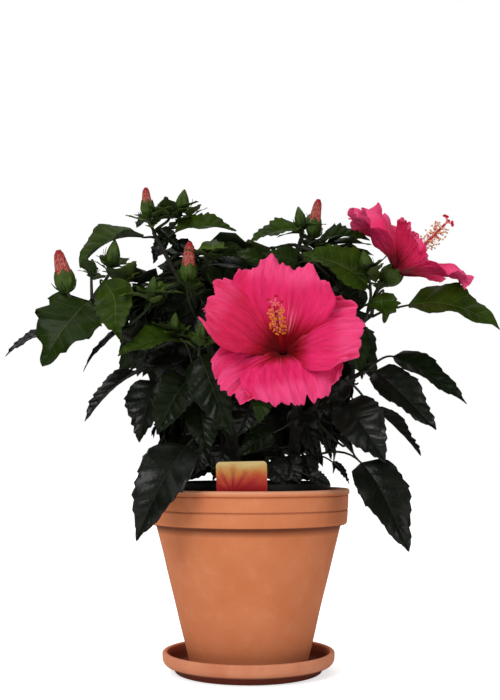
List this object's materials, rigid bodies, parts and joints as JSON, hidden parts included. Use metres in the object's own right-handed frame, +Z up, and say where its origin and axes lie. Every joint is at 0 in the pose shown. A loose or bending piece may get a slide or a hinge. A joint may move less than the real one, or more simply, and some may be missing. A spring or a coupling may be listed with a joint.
{
  "type": "potted hibiscus shrub",
  "caption": "Leafy flowering shrub in a tapered clay pot on a matching saucer, with open blooms, buds and a stick-in plant label.",
  "frame": {"origin": "middle of the saucer's flat underside, on the ground", "axes": "+Z up, -Y towards the viewer and the open front bloom, +X to the viewer's right, towards the side bloom"},
  "size_m": [0.3965, 0.2744, 0.4111],
  "materials": {
    "terracotta": "unglazed fired clay with a pale bloom, small pits and fine throwing lines",
    "black_plastic": "thin moulded black nursery-pot plastic, slightly glossy",
    "potting_soil": "dark damp peat and bark crumbs",
    "label_card": "glossy printed plastic card, plain colour wash from cream through orange to magenta",
    "bark": "grey-brown to green young bark with fine cracks and leaf scars",
    "foliage": "glossy quilted leaves, bright green above and near-black green below",
    "buds": "matt green calyx and bracts with a rolled red petal tip",
    "petals": "thin ruffled magenta-pink petals with raised veins and a deep red eye",
    "stamen_column": "pale pink column with orange-yellow anthers and dark red stigma pads"
  },
  "bodies": {
    "root": {"bloom_front": "petals", "bloom_front_column": "stamen_column", "bloom_side": "petals", "bloom_side_column": "stamen_column", "bough_back_left": "bark", "bough_back_right": "bark", "bough_centre": "bark", "bough_front": "bark", "bough_left": "bark", "bough_left_upper": "bark", "bough_right": "bark", "bough_right_low": "bark", "bud_far_left": "buds", "bud_green_top": "buds", "bud_inner": "buds", "bud_top_left": "buds", "bud_top_right": "buds", "mass_back_left": "foliage", "mass_back_low": "foliage", "mass_back_right": "foliage", "mass_centre": "foliage", "mass_front": "foliage", "mass_left": "foliage", "mass_lower_left": "foliage", "mass_lower_right": "foliage", "mass_right": "foliage", "mass_top_centre": "foliage", "mass_top_left": "foliage", "mass_top_right": "foliage", "nursery_pot": "black_plastic", "plant_label": "label_card", "saucer": "terracotta", "soil": "potting_soil", "spray_back_left": "foliage", "spray_back_right": "foliage", "spray_far_left": "foliage", "spray_far_right": "foliage", "spray_front_left": "foliage", "spray_front_low": "foliage", "spray_front_mid": "foliage", "spray_left_arch": "foliage", "spray_left_bright": "foliage", "spray_left_dart": "foliage", "spray_left_ledge": "foliage", "spray_lower_left": "foliage", "spray_lower_left_dart": "foliage", "spray_over_rim": "foliage", "spray_right_bright": "foliage", "spray_right_broad": "foliage", "spray_right_low": "foliage", "spray_right_middle": "foliage", "spray_right_narrow": "foliage", "spray_right_small": "foliage", "spray_right_upper": "foliage", "spray_top_centre": "foliage", "spray_top_left": "foliage", "spray_top_right": "foliage", "stem_left": "bark", "stem_right": "bark", "terracotta_pot": "terracotta"}
  },
  "joints": []
}
